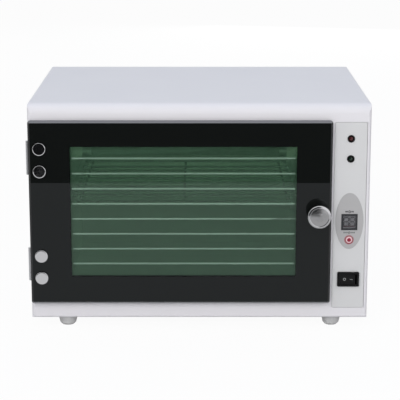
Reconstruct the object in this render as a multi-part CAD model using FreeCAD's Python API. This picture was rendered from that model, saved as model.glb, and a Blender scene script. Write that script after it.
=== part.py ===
import FreeCAD, Part
import math
import os

# A table-top UV sterilizer cabinet for salon tools: a painted steel case with a stainless chamber,
# a germicidal tube under its roof, a slide-out wire rack, a hinged glass door, and a narrow control
# panel beside the door.
#
# Millimetres. While the pieces are built, X is 0 on the middle of the case, Y is 0 on the front face
# and grows towards the back, and Z is 0 on the table. The last step moves everything sideways to the
# middle of its own box.

# ---------------------------------------------------------------- driving dimensions
# Case
body_width = 340.0
body_depth = 255.0
body_height = 220.0
foot_height = 12.0
sheet = 1.0                       # painted steel
top_bend = 10.0                   # outside radius, roof into front face
bottom_bend = 2.0
front_edge_bend = 3.5             # outside radius, sides into front face
roof_edge_bend = 2.5
fascia_return = 11.0              # how far the fascia's rim runs back to the weld with the wrap
flange_width = 12.0
panel_gap = 0.4                   # round loose panels
base_screw_front = 76.0           # from the front face
base_screw_rear = 64.0            # from the back face
rear_vent_length = 42.0           # slots in the rear panel, by the electrics
base_vent_length = 30.0
vent_width = 3.0
vent_corner = 1.4
vent_pitch = 8.0
rear_vent_count = 8
rear_vent_height = 120.0          # lowest slot, above the case's underside
base_vent_count = 3
base_vent_setback = 96.0          # first slot, from the front face
foot_inset_x = 35.0
foot_inset_y = 19.0
foot_radius = 9.3
foot_sole_radius = 6.0
foot_swell = 2.2                  # the sole's rim rises this much, and grows as much
foot_belly = 7.0                  # height where the foot has its full radius
foot_recess_radius = 3.4
foot_recess = 6.0

# Chamber
liner_sheet = 0.8                 # stainless steel
bay_width = 64.7                  # room for the electrics, from the liner to the case's right side
chamber_roof_gap = 28.0           # from its ceiling to the case's top
chamber_depth = 213.0
chamber_left_margin = 35.5        # from the case's left side to the liner's inner face
chamber_floor_height = 23.0       # above the case's underside
support_inset = 45.0              # floor supports, from the chamber's front and back
support_width = 28.0
support_crown = 14.0
support_end_gap = 4.0
opening_lip = 4.0                 # the fascia covers the liner's front edges by this much
opening_corner = 3.0

# Door
door_left_margin = 0.9
door_top_margin = 16.1
door_bottom_margin = 17.0
door_to_panel = 2.4
door_gap = 3.5                    # air between fascia and glass, filled by the seal
glass_thickness = 5.0
glass_bevel = 2.0
glass_corner = 2.6
film = 0.2                        # printed border and window films
film_margin = 0.5
line_ink = 0.1                    # printed lines, let into the window film
window_left_margin = 40.9         # from the glass's left edge
window_right_margin = 34.8
window_top_margin = 25.7
window_bottom_margin = 28.4
line_count = 8
line_pitch = 15.4
line_height = 1.6
line_side_gap = 1.6
seal_width = 4.0
seal_offset = 2.0                 # from the chamber opening to the seal's inner edge
seal_clearance = 0.3
stud_hole_play = 0.6              # radial, in the glass
knob_hole_play = 1.0

# Hinges
knuckle_radius = 2.0
hinge_pin_radius = 1.0
pin_clearance = 0.05
hinge_inset = 0.2                 # from the case's side to the pin's axis
leaf = 1.0
leaf_height = 34.0
leaf_width = 20.0
frame_leaf_width = 17.0
hinge_screw_spacing = 19.0
hinge_screw_head = 0.8
backing_width = 12.0
backing = 2.0
frame_knuckle = 8.0
knuckle_gap = 0.4
leaf_clearance = 0.4              # from a leaf's edge to the other leaf's knuckle
hinge_cap_spacing = 22.6
hinge_cap_rise = -1.4             # cap pair's middle, from the leaf's middle
hinge_bottom_margin = 57.1        # the lower leaf's middle, above the case's underside
hinge_top_margin = 53.9           # the upper leaf's middle, below the case's top
hinge_cap_radius = 6.5
hinge_cap_height = 2.2
hinge_cap_bevel = 0.9
hinge_cap_inset = 11.2            # from the glass's left edge
washer = 0.4
washer_inset = 0.5                # a washer is this much smaller than what it seats
stud_radius = 1.95
hole_play = 0.05                  # radial, round studs and screws that a thread holds

# Knob and catch
knob_inset = 13.2                 # from the glass's right edge
knob_height = 110.8               # above the case's underside
knob_radius = 11.5
knob_foot_radius = 7.5
knob_foot = 1.0
knob_neck_radius = 5.2
knob_length = 17.6
knob_bevel = 1.3
knob_rim = 1.0                    # width of the flat rim round the knob's face
knob_dish = 0.4                   # the face lies this much below its rim
knob_head = 6.0                   # length of the knob's full-width part, with its bevel
knob_shoulder = 1.0
knob_flare = 3.0                  # from the head's back to the neck, and at the foot
knob_bore = 9.0
knob_screw_head_radius = 3.8
knob_screw_head = 1.8
knob_screw_socket = 1.2           # radius of its hexagon socket
knob_screw_socket_depth = 0.9
knob_screw_gap = 0.5              # left at the bottom of the knob's bore
knob_rear_washer_radius = 5.5
catch_height = 150.0
catch_width = 22.0
catch_tall = 14.0
catch_depth = 14.0
catch_wall = 2.0
catch_play = 0.2
catch_screw_reach = 12.0          # from the catch's middle
catch_flange = 2.0
catch_flange_reach = 16.0
catch_air_gap = 0.3
magnet_pole = 1.5
magnet_setback = 1.0
strike = 1.2
strike_inset = 1.0                # smaller than the catch's face all round
strike_corner = 1.5

# Control panel
panel_side_margin = 3.6
panel_width = 32.6
panel_top_margin = 18.4
panel_bottom_margin = 10.5
panel_thickness = 2.0
panel_corner = 1.5
panel_flange = 1.8                # overlap behind the fascia
panel_flange_back = 2.6
post_radius = 2.8
post_hole = 5.0
oval_width = 28.0
oval_height = 57.6
oval_thickness = 0.5
oval_middle = 101.0               # above the case's underside
display_width = 16.2
display_height = 16.6
display_middle = 100.1
display_frame = 1.9
display_proud = 0.5
display_recess = 1.6
display_filter = 0.7
filter_setback = 0.5
digit_height = 9.1
digit_width = 4.9                 # between the middles of its upright bars
bar_width = 0.9
bar_gap = 0.25
button_middle = 81.8
button_ring_proud = 0.6
button_ring_flange = 1.2
button_ring_flange_thickness = 0.9
button_proud = 0.5
button_stem_radius = 1.6
button_ring_radius = 4.2
button_radius = 3.3
button_travel = 1.0
button_play = 0.3
rocker_middle = 40.7
rocker_width = 22.0
rocker_height = 15.0
rocker_rim = 2.3
rocker_tilt = 8.0                 # degrees each way from level
rocker_depth = 17.0
rocker_proud = 2.0
rocker_floor = 4.0                # solid below the paddle's pocket
rocker_pivot = 3.4                # axle, behind the panel's face
rocker_axle = 1.5
rocker_play = 0.35
rocker_fit = 0.15                 # all round, between its body and the panel's cut-out
rocker_corner = 1.0
rocker_crown = 2.1                # the paddle's ends, in front of the panel's face
rocker_dip = 0.7                  # its middle is this much lower
rocker_heel = 1.2                 # where its ends stop, behind the panel's face
rocker_boss = 2.4                 # half width round the axle
led_drops = (16.8, 37.1)          # red and green, below the panel's top edge
led_clearance = 0.05
led_bezel_radius = 3.7
led_bezel_proud = 1.4
led_bezel_round = 0.5
led_bezel_length = 2.5            # behind the panel's back
led_bezel_wall = 0.4
led_radius = 2.5
led_proud = 1.7
led_body = 3.5                    # behind the panel's back
led_leg = 0.5
led_leg_spacing = 2.54
board_gap = 8.0                   # from the panel's back to the board
board = 1.6
board_width = 27.0
board_bottom = 62.0
board_top_margin = 27.0           # from the case's top
board_hole_inset = 3.0
push_switch = 6.0
push_switch_height = 2.6
push_switch_gap = 0.4             # left between it and the button when that is fully pressed
relay_width = 15.0
relay_height = 19.0
relay_depth = 15.5
relay_rise = 12.0                 # above the board's lower edge
transformer_width = 22.0
transformer_height = 28.0
transformer_depth = 24.0
transformer_rise = 44.0
transformer_core = 16.0
transformer_coil_width = 16.0
transformer_coil_height = 18.0
transformer_coil_corner = 2.0

# Rack
rack_height = 119.5               # wire axis, above the case's underside
rack_setback = 15.0               # front bar's axis, from the fascia's face
rack_depth = 190.0
rack_wire = 1.3                   # radius
rack_rod = 1.5
rack_bar = 2.0
rack_pitch = 20.0
rack_side_play = 1.5              # inside the chamber opening, each side
rack_rod_inset = 8.5              # outer rods, from the wires' ends
rack_overhang = 2.2               # of rods and bar, past the axis of the wire they end on
weld_sink = 0.35                  # how deep crossed wires sink into each other
rail_width = 9.5
rail_leaf = 10.0
rail_clearance = 0.3
rail_front = 7.0                  # from the chamber's front
rail_back = 4.0                   # from its back wall

# Lamp, a 6 W T5 germicidal tube
lamp_radius = 7.75
lamp_glass = 0.9
lamp_cap_length = 8.0
lamp_pin_length = 6.5
lamp_pin_radius = 1.18
lamp_pin_spacing = 4.75
lamp_setback = 75.0
lamp_drop = 32.0                  # tube's axis below the chamber's ceiling
holder_thickness = 11.0
holder_end_gap = 2.0              # from the chamber's side walls
holder_width = 20.0
holder_under = 8.5
reflector_width = 56.0
reflector_top = 22.0
reflector_drop = 14.0
reflector_end_gap = 2.0
holder_corner = 3.0
socket_play = 0.5

# Electrics
ballast_length = 84.0
ballast_width = 38.0
ballast_height = 30.0
ballast_ear = 11.0
ballast_foot = 1.2
ballast_back_gap = 20.0           # from its core to the chamber's back, seen from the side
starter_radius = 10.75
starter_length = 36.0
starter_socket_size = 26.0
starter_socket_depth = 9.0
starter_back_gap = 60.0
starter_height = 150.0            # above the case's underside
terminal_setback = 66.0
terminal_pitch = 9.5
terminal_length = 40.0
terminal_width = 16.0
terminal_height = 14.0
terminal_pocket = 6.0             # depth
terminal_pocket_radius = 2.6
gland_bore = 3.6
gland_thread = 6.2
gland_thread_length = 12.0
gland_corner = 9.0                # from the axis to a corner of its hexagons
gland_body = 4.0
gland_dome_radius = 7.5
gland_dome = 6.0
gland_dome_shoulder = 4.0
gland_dome_tip = 6.0
gland_nut = 4.0
gland_height = 60.0
grommet_radius = 4.5
grommet_rim = 1.6
lead_radius = 1.1
lead_slack = 10.0                 # straight run before a bend
lead_spread = 4.0                 # to the side of the rocker's middle, where its lead ends
screw_radius = 1.4                # M3 and its like
screw_play = 0.2
screw_head_radius = 2.6
screw_head = 1.6
screw_slot = 0.6
screw_length = 6.0
short_screw = 4.5                 # in the board's posts and under the ballast
catch_screw_head = 1.4
past = 1.0                        # how far a cutting shape runs past the face it opens

# ---------------------------------------------------------------- places worked out from them
left = -body_width / 2
right = body_width / 2
bottom = foot_height
top = bottom + body_height
inner_left = left + sheet
inner_right = right - sheet
inner_bottom = bottom + sheet
inner_top = top - sheet

chamber_left = left + chamber_left_margin
chamber_right = inner_right - bay_width - liner_sheet
chamber_width = chamber_right - chamber_left
chamber_mid = (chamber_left + chamber_right) / 2
chamber_floor = bottom + chamber_floor_height
chamber_ceiling = top - chamber_roof_gap
chamber_front = sheet
chamber_back = chamber_front + chamber_depth
opening_left = chamber_left + opening_lip
opening_right = chamber_right - opening_lip
opening_bottom = chamber_floor + opening_lip
opening_top = chamber_ceiling - opening_lip

panel_right = right - panel_side_margin
panel_left = panel_right - panel_width
panel_mid = (panel_left + panel_right) / 2
panel_low = bottom + panel_bottom_margin
panel_high = top - panel_top_margin
panel_back = panel_thickness
board_front = panel_back + board_gap
board_back = board_front + board
board_low = bottom + board_bottom
board_high = top - board_top_margin
led_heights = [panel_high - drop for drop in led_drops]

glass_left = left + door_left_margin
glass_right = panel_left - door_to_panel
glass_low = bottom + door_bottom_margin
glass_high = top - door_top_margin
glass_back = -door_gap
glass_front = glass_back - glass_thickness
door_back = glass_back + film
window_left = glass_left + window_left_margin
window_right = glass_right - window_right_margin
window_low = glass_low + window_bottom_margin
window_high = glass_high - window_top_margin

hinge_x = left + hinge_inset
hinge_y = door_back + knuckle_radius
hinge_middles = (bottom + hinge_bottom_margin, top - hinge_top_margin)
cap_x = glass_left + hinge_cap_inset
cap_heights = [middle + hinge_cap_rise + side * hinge_cap_spacing / 2
               for middle in hinge_middles for side in (-1, 1)]
knob_x = glass_right - knob_inset
knob_z = bottom + knob_height
bay_left = chamber_right + liner_sheet
bay_mid = (bay_left + inner_right) / 2
lamp_length = chamber_width - 2 * (holder_thickness + holder_end_gap)
rack_z = bottom + rack_height
rail_top = rack_z - rack_wire - rail_clearance
lamp_z = chamber_ceiling - lamp_drop
holder_middles = [chamber_mid + side * (lamp_length + holder_thickness) / 2 for side in (-1, 1)]
roof_space = (chamber_ceiling + liner_sheet + inner_top) / 2
rear_face = body_depth - sheet
starter_y = chamber_back - starter_back_gap
starter_z = bottom + starter_height
starter_face = bay_left + starter_socket_depth
terminal_y = terminal_setback
terminal_floor = inner_bottom + terminal_height - terminal_pocket
terminal_places = [bay_mid + terminal_pitch * step for step in (-1.5, -0.5, 0.5, 1.5)]

X = FreeCAD.Vector(1, 0, 0)
Y = FreeCAD.Vector(0, 1, 0)
Z = FreeCAD.Vector(0, 0, 1)
nodes = {}


# ---------------------------------------------------------------- helpers
def point(x, y, z):
    return FreeCAD.Vector(x, y, z)


def box(x0, x1, y0, y1, z0, z1):
    return Part.makeBox(x1 - x0, y1 - y0, z1 - z0, point(x0, y0, z0))


def rod_x(y, z, radius, x0, x1):
    return Part.makeCylinder(radius, x1 - x0, point(x0, y, z), X)


def rod_y(x, z, radius, y0, y1):
    return Part.makeCylinder(radius, y1 - y0, point(x, y0, z), Y)


def rod_z(x, y, radius, z0, z1):
    return Part.makeCylinder(radius, z1 - z0, point(x, y, z0), Z)


def rounded_outline(a0, a1, b0, b1, radii):
    """Corners anticlockwise from (a0, b0); returns straight and arc pieces as ((a, b), ...) tuples."""
    corners = [(a0, b0), (a1, b0), (a1, b1), (a0, b1)]
    into = [(0, -1), (1, 0), (0, 1), (-1, 0)]
    pieces = []
    for (a, b), (ia, ib), (oa, ob), radius in zip(corners, into, into[1:] + into[:1], radii):
        start = (a - ia * radius, b - ib * radius)
        end = (a + oa * radius, b + ob * radius)
        centre = (start[0] + oa * radius, start[1] + ob * radius)
        reach = radius / math.hypot(a - centre[0], b - centre[1]) if radius else 0
        middle = (centre[0] + (a - centre[0]) * reach, centre[1] + (b - centre[1]) * reach)
        pieces.append((start, middle, end, radius))
    return pieces


def rounded_face(a0, a1, b0, b1, radii, place):
    """A rectangle with one radius for each corner, on the plane that place(a, b) gives."""
    pieces = rounded_outline(a0, a1, b0, b1, radii)
    edges = []
    for (start, middle, end, radius), following in zip(pieces, pieces[1:] + pieces[:1]):
        if radius:
            edges.append(Part.Arc(place(*start), place(*middle), place(*end)).toShape())
        edges.append(Part.LineSegment(place(*end), place(*following[0])).toShape())
    return Part.Face(Part.Wire(edges))


def plate(x0, x1, z0, z1, y0, y1, radius=0.0):
    """An upright plate facing the front, with its four corners rounded."""
    if not radius:
        return box(x0, x1, y0, y1, z0, z1)
    face = rounded_face(x0, x1, z0, z1, [radius] * 4, lambda a, b: point(a, y0, b))
    return face.extrude(Y * (y1 - y0))


def turned(x, z, profile):
    """A turned piece about an axis along Y through (x, z), from a profile of (radius, y) points."""
    points = [point(x + radius, y, z) for radius, y in profile]
    face = Part.Face(Part.makePolygon(points + points[:1]))
    return face.revolve(point(x, 0, z), Y, 360)


def joined(shapes):
    result = shapes[0].multiFuse(shapes[1:])
    return result.removeSplitter()


def cut(shape, *tools):
    return shape.cut(Part.makeCompound(list(tools)))


def node(name, *shapes):
    nodes[name] = shapes[0] if len(shapes) == 1 else Part.makeCompound(list(shapes))


def screw_y(x, z, seat, direction, length, head=screw_head):
    """A pan head screw along Y: its head sits on the face at seat, its shank points in direction."""
    far = seat + direction * length
    crown = seat - direction * head
    shank = rod_y(x, z, screw_radius, min(seat, far), max(seat, far))
    cap = rod_y(x, z, screw_head_radius, min(seat, crown), max(seat, crown))
    slot_end = crown + direction * head / 2
    slot = plate(x - screw_head_radius, x + screw_head_radius, z - screw_slot / 2, z + screw_slot / 2,
                 min(crown, slot_end), max(crown, slot_end))
    return cut(shank.fuse(cap), slot)


def screw_z(x, y, seat, direction, length):
    """The same screw along Z."""
    upright = screw_y(0, 0, 0, direction, length)
    upright.rotate(point(0, 0, 0), X, 90)
    upright.translate(point(x, y, seat))
    return upright


# ---------------------------------------------------------------- the painted case
def case_block(inset):
    """The case's outer form, moved inwards by inset: a side view, a top view and a front view meet in it."""
    x0, x1 = left + inset, right - inset
    y0, y1 = inset, body_depth
    z0, z1 = bottom + inset, top - inset
    side = rounded_face(y0, y1, z0, z1, [bottom_bend - inset, 0, 0, top_bend - inset],
                        lambda a, b: point(x0, a, b)).extrude(X * (x1 - x0))
    plan = rounded_face(x0, x1, y0, y1, [front_edge_bend - inset, front_edge_bend - inset, 0, 0],
                        lambda a, b: point(a, b, z0)).extrude(Z * (z1 - z0))
    front = rounded_face(x0, x1, z0, z1, [0, 0, roof_edge_bend - inset, roof_edge_bend - inset],
                         lambda a, b: point(a, y0, b)).extrude(Y * (y1 - y0))
    return side.common(plan).common(front)


def rear_screw_places():
    across = inner_right - flange_width / 2
    high = inner_top - flange_width / 2
    low = inner_bottom + flange_width / 2
    middle = (high + low) / 2
    return [(-across, middle), (across, middle), (-across, high), (across, high),
            (0, high), (-across / 2, low), (across / 2, low)]


def catch_screw_places():
    return [(knob_x, bottom + catch_height + side * catch_screw_reach) for side in (-1, 1)]


def hinge_screw_places():
    return [(cap_x, middle + side * hinge_screw_spacing / 2) for middle in hinge_middles for side in (-1, 1)]


def make_case():
    outer = case_block(0)
    shell = outer.cut(case_block(sheet))
    fascia = shell.common(box(left, right, 0, fascia_return, bottom, top))
    holes = [plate(opening_left, opening_right, opening_bottom, opening_top,
                   -past, fascia_return, opening_corner),
             plate(panel_left, panel_right, panel_low, panel_high, -past, sheet + past, panel_corner),
             plate(knob_x - catch_width / 2, knob_x + catch_width / 2, bottom + catch_height - catch_tall / 2,
                   bottom + catch_height + catch_tall / 2, -past, sheet + past)]
    holes += [rod_y(x, z, screw_radius + screw_play, -past, sheet + past)
              for x, z in hinge_screw_places() + catch_screw_places()]
    node("front_fascia", cut(fascia, *holes))

    wrap = shell.common(box(left, right, fascia_return, body_depth, bottom, top))
    wrap = wrap.cut(box(inner_left, inner_right, fascia_return - past, body_depth + past,
                        bottom - past, inner_bottom + past))
    flange_low = inner_bottom + flange_width + panel_gap
    ledge_end = rear_face - sheet - panel_gap
    frame = box(inner_left, inner_right, rear_face - sheet, rear_face, flange_low, inner_top)
    frame = frame.cut(box(inner_left + flange_width, inner_right - flange_width, 0, body_depth,
                          flange_low - past, inner_top - flange_width)).common(outer)
    ledges = [box(x, x + flange_width, fascia_return, ledge_end, inner_bottom, inner_bottom + sheet)
              for x in (inner_left, inner_right - flange_width)]
    pilots = [rod_y(x, z, screw_radius + hole_play, chamber_back, body_depth + past)
              for x, z in rear_screw_places()]
    pilots += [rod_z(x, y, screw_radius + hole_play, 0, inner_bottom + sheet + past)
               for x, y in base_screw_places()]
    node("cabinet_wrap", cut(joined([wrap, frame] + ledges), *pilots))


def base_screw_places():
    across = inner_right - flange_width / 2
    return [(side * across, y) for side in (-1, 1)
            for y in (base_screw_front, body_depth - base_screw_rear)]


def foot_places():
    return [(side + inset, y) for side, inset in ((left, foot_inset_x), (right, -foot_inset_x))
            for y in (foot_inset_y, body_depth - foot_inset_y)]


def make_base():
    side = panel_gap / 2
    floor = box(inner_left + side, inner_right - side, fascia_return, body_depth, bottom, inner_bottom)
    lip = box(inner_left + side, inner_right - side, rear_face - sheet, rear_face,
              inner_bottom, inner_bottom + flange_width)
    slots = [base_slot(base_vent_setback + vent_pitch * step) for step in range(base_vent_count)]
    holes = [rod_z(x, y, screw_radius + screw_play, bottom - past, inner_bottom + past)
             for x, y in base_screw_places()]
    holes += [rod_z(x, y, screw_radius + hole_play, bottom - past, inner_bottom + past)
              for x, y in foot_places() + ballast_screw_places()]
    holes += [rod_y(x, z, screw_radius + hole_play, rear_face - sheet - past, rear_face + past)
              for x, z in rear_screw_places() if z < inner_bottom + flange_width]
    node("base_pan", cut(floor.fuse(lip), *(slots + holes)))


def base_slot(y):
    """A round-ended vent through the base pan, along X."""
    half, radius = (base_vent_length - vent_width) / 2, vent_width / 2
    low, high = bottom - past, inner_bottom + past
    bar = box(bay_mid - half, bay_mid + half, y - radius, y + radius, low, high)
    return bar.multiFuse([rod_z(bay_mid + side * half, y, radius, low, high) for side in (-1, 1)])


def make_rear_panel():
    y0, y1 = rear_face, body_depth
    panel = plate(inner_left + panel_gap, inner_right - panel_gap,
                  inner_bottom + panel_gap, inner_top - panel_gap, y0, y1, roof_edge_bend)
    slots = [plate(bay_mid - rear_vent_length / 2, bay_mid + rear_vent_length / 2, z, z + vent_width,
                   y0 - past, y1 + past, vent_corner)
             for z in [bottom + rear_vent_height + vent_pitch * step for step in range(rear_vent_count)]]
    holes = [rod_y(x, z, screw_radius + screw_play, y0 - past, y1 + past) for x, z in rear_screw_places()]
    holes.append(rod_y(bay_mid, bottom + gland_height, gland_thread + hole_play, y0 - past, y1 + past))
    node("rear_panel", cut(panel, *(slots + holes)))
    screws = [screw_y(x, z, body_depth, -1, screw_length) for x, z in rear_screw_places()]
    screws += [screw_z(x, y, bottom, 1, screw_length) for x, y in base_screw_places()]
    foot_grip = bottom - foot_recess
    screws += [screw_z(x, y, foot_recess, 1, foot_grip + screw_length) for x, y in foot_places()]
    node("case_screws", *screws)


def hexagon(x, z, y0, y1):
    """A hexagonal bar along Y, with a corner to each side."""
    corners = [point(x + gland_corner * math.cos(math.radians(turn)), y0,
                     z + gland_corner * math.sin(math.radians(turn))) for turn in range(0, 360, 60)]
    return Part.Face(Part.makePolygon(corners + corners[:1])).extrude(Y * (y1 - y0))


def make_gland():
    x, z = bay_mid, bottom + gland_height
    dome_start = body_depth + gland_body
    dome_end = dome_start + gland_dome
    dome = turned(x, z, [(0, dome_start), (gland_dome_radius, dome_start),
                         (gland_dome_radius, dome_start + gland_dome_shoulder), (gland_dome_tip, dome_end),
                         (0, dome_end)])
    thread = rod_y(x, z, gland_thread, body_depth - gland_thread_length, body_depth)
    bore = rod_y(x, z, gland_bore, body_depth - gland_thread_length - past, dome_end + past)
    node("cable_gland", joined([hexagon(x, z, body_depth, dome_start), dome, thread]).cut(bore))
    nut = hexagon(x, z, rear_face - gland_nut, rear_face)
    nut_bore = rod_y(x, z, gland_thread + hole_play, rear_face - gland_nut - past, body_depth)
    node("gland_nut", nut.cut(nut_bore))


def make_feet():
    feet = []
    for x, y in foot_places():
        profile = [point(x, y, 0), point(x + foot_sole_radius, y, 0),
                   point(x + foot_sole_radius + foot_swell, y, foot_swell),
                   point(x + foot_radius, y, foot_belly), point(x + foot_radius, y, bottom),
                   point(x, y, bottom)]
        body = Part.Face(Part.makePolygon(profile + profile[:1])).revolve(point(x, y, 0), Z, 360)
        recess = rod_z(x, y, foot_recess_radius, -past, foot_recess)
        hole = rod_z(x, y, screw_radius + screw_play, -past, bottom + past)
        feet.append(cut(body, recess, hole))
    node("feet", *feet)


# ---------------------------------------------------------------- the stainless chamber
def make_liner():
    t = liner_sheet
    y0, y1 = chamber_front, chamber_back
    node("chamber_floor", box(chamber_left - t, chamber_right + t, y0, y1, chamber_floor - t, chamber_floor))
    ceiling = box(chamber_left - t, chamber_right + t, y0, y1, chamber_ceiling, chamber_ceiling + t)
    lead_holes = [rod_z(x, lamp_setback, grommet_radius, chamber_ceiling - past, roof_space)
                  for x in holder_middles]
    node("chamber_ceiling", cut(ceiling, *lead_holes))
    node("chamber_left_wall", box(chamber_left - t, chamber_left, y0, y1, chamber_floor, chamber_ceiling))
    node("chamber_right_wall", box(chamber_right, chamber_right + t, y0, y1, chamber_floor, chamber_ceiling))
    node("chamber_back_wall", box(chamber_left - t, chamber_right + t, y1, y1 + t,
                                  chamber_floor - t, chamber_ceiling + t))
    half, crown = support_width / 2, support_crown / 2
    x0, x1 = chamber_left, chamber_right - support_end_gap
    supports = []
    for y in (y0 + support_inset, y1 - support_inset):
        hat = box(x0, x1, y - half, y + half, inner_bottom, chamber_floor - t)
        lower, upper = [box(x0 - past, x1 + past, *sorted((y + side * crown, y + side * (half + past))),
                            inner_bottom + sheet, chamber_floor) for side in (-1, 1)]
        inner = box(x0 - past, x1 + past, y - crown + sheet, y + crown - sheet,
                    inner_bottom - past, chamber_floor - t - sheet)
        supports.append(cut(hat, lower, upper, inner))
    node("chamber_supports", *supports)
    rails = []
    for wall_x, inward in ((chamber_left, 1), (chamber_right, -1)):
        y_front, y_back = chamber_front + rail_front, chamber_back - rail_back
        x0, x1 = sorted((wall_x, wall_x + inward * rail_width))
        ledge = box(x0, x1, y_front, y_back, rail_top - t, rail_top)
        x0, x1 = sorted((wall_x, wall_x + inward * t))
        rails.append(joined([ledge, box(x0, x1, y_front, y_back, rail_top - rail_leaf, rail_top)]))
    node("rack_rails", *rails)


def make_lamp():
    tube_left = chamber_mid - lamp_length / 2
    tube_right = chamber_mid + lamp_length / 2
    y, z = lamp_setback, lamp_z
    glass = rod_x(y, z, lamp_radius, tube_left + lamp_cap_length, tube_right - lamp_cap_length)
    node("uv_lamp_tube", glass.cut(rod_x(y, z, lamp_radius - lamp_glass, tube_left, tube_right)))
    caps = []
    for end, outward in ((tube_left, -1), (tube_right, 1)):
        x0, x1 = sorted((end, end - outward * lamp_cap_length))
        cap = rod_x(y, z, lamp_radius, x0, x1)
        x0, x1 = sorted((end, end + outward * lamp_pin_length))
        pins = [rod_x(y, z + side * lamp_pin_spacing / 2, lamp_pin_radius, x0, x1) for side in (-1, 1)]
        caps.append(cap.multiFuse(pins))
    node("lamp_end_caps", *caps)
    holders = []
    for face, outward in ((tube_left, -1), (tube_right, 1)):
        x0, x1 = sorted((face, face + outward * holder_thickness))
        block = plate_x(x0, x1, y - holder_width / 2, y + holder_width / 2, z - holder_under,
                        chamber_ceiling, holder_corner)
        x0, x1 = sorted((face - outward * past, face + outward * (lamp_pin_length + socket_play)))
        sockets = [rod_x(y, z + end * lamp_pin_spacing / 2, lamp_pin_radius + hole_play, x0, x1)
                   for end in (-1, 1)]
        holders.append(cut(block, *sockets))
    node("lamp_holders", *holders)
    t = liner_sheet
    half_top, half_bottom = reflector_top / 2, reflector_width / 2
    high = chamber_ceiling
    low = high - reflector_drop
    outline = [(-half_bottom, low), (-half_bottom + t, low), (-half_top + t / 2, high - t),
               (half_top - t / 2, high - t), (half_bottom - t, low), (half_bottom, low),
               (half_top, high), (-half_top, high)]
    section = [point(tube_left + reflector_end_gap, y + a, b) for a, b in outline]
    reflector_length = lamp_length - 2 * reflector_end_gap
    node("lamp_reflector", Part.Face(Part.makePolygon(section + section[:1])).extrude(X * reflector_length))
    rings = []
    for x in holder_middles:
        ring = rod_z(x, lamp_setback, grommet_radius, chamber_ceiling, chamber_ceiling + t)
        rim = rod_z(x, lamp_setback, grommet_radius + grommet_rim, chamber_ceiling + t,
                    chamber_ceiling + t + grommet_rim)
        hole = rod_z(x, lamp_setback, lead_radius + hole_play, chamber_ceiling - past, roof_space)
        rings.append(joined([ring, rim]).cut(hole))
    node("lamp_lead_grommets", *rings)


def plate_x(x0, x1, y0, y1, z0, z1, radius):
    """A plate facing sideways, with its two lower corners rounded."""
    face = rounded_face(y0, y1, z0, z1, [radius, radius, 0, 0], lambda a, b: point(x0, a, b))
    return face.extrude(X * (x1 - x0))


def make_rack():
    wire_left = opening_left + rack_side_play
    wire_right = opening_right - rack_side_play
    rod_left = wire_left + rack_rod_inset
    rod_right = wire_right - rack_rod_inset
    front = rack_setback
    back = front + rack_depth
    bar_z = rack_z - rack_wire - rack_rod + weld_sink
    wires = []
    y = front + rack_pitch
    while y < back - rack_pitch / 2:
        wires.append(rod_x(y, rack_z, rack_wire, wire_left, wire_right))
        y += rack_pitch
    wires.append(rod_x(back, rack_z, rack_wire, wire_left, wire_right))
    rods = [rod_y(x, bar_z, rack_rod, front, back + rack_overhang)
            for x in (rod_left, (rod_left + rod_right) / 2, rod_right)]
    bar = rod_x(front, bar_z, rack_bar, rod_left - rack_overhang, rod_right + rack_overhang)
    node("wire_rack", rods[0].multiFuse(rods[1:] + wires + [bar]))


# ---------------------------------------------------------------- the glass door
def make_door():
    glass = plate(glass_left, glass_right, glass_low, glass_high, glass_front, glass_back, glass_corner)
    front_edges = [edge for edge in glass.Edges
                   if all(abs(vertex.Point.y - glass_front) < 1e-6 for vertex in edge.Vertexes)]
    glass = glass.makeChamfer(glass_bevel, front_edges)
    holes = [rod_y(cap_x, z, stud_radius + stud_hole_play, glass_front - past, door_back + past)
             for z in cap_heights]
    holes.append(rod_y(knob_x, knob_z, stud_radius + knob_hole_play, glass_front - past, door_back + past))
    node("door_glass", cut(glass, *holes))

    m = film_margin
    border = plate(glass_left + m, glass_right - m, glass_low + m, glass_high - m, glass_back, door_back,
                   glass_corner - m)
    opening = plate(window_left, window_right, window_low, window_high, glass_back - past, door_back + past)
    node("door_border_film", cut(border, opening, *holes))
    first = (window_low + window_high - (line_count - 1) * line_pitch) / 2
    lines = [plate(window_left + line_side_gap, window_right - line_side_gap, middle - line_height / 2,
                   middle + line_height / 2, glass_back, glass_back + line_ink)
             for middle in [first + row * line_pitch for row in range(line_count)]]
    tint = plate(window_left, window_right, window_low, window_high, glass_back, door_back)
    node("window_film", cut(tint, *lines))
    node("window_lines", *lines)

    x0, x1 = opening_left - seal_offset, opening_right + seal_offset
    z0, z1 = opening_bottom - seal_offset, opening_top + seal_offset
    w = seal_width
    seal = plate(x0 - w, x1 + w, z0 - w, z1 + w, door_back, -seal_clearance, opening_corner + w)
    node("door_seal", seal.cut(plate(x0, x1, z0, z1, door_back - past, 0, opening_corner)))


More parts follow.
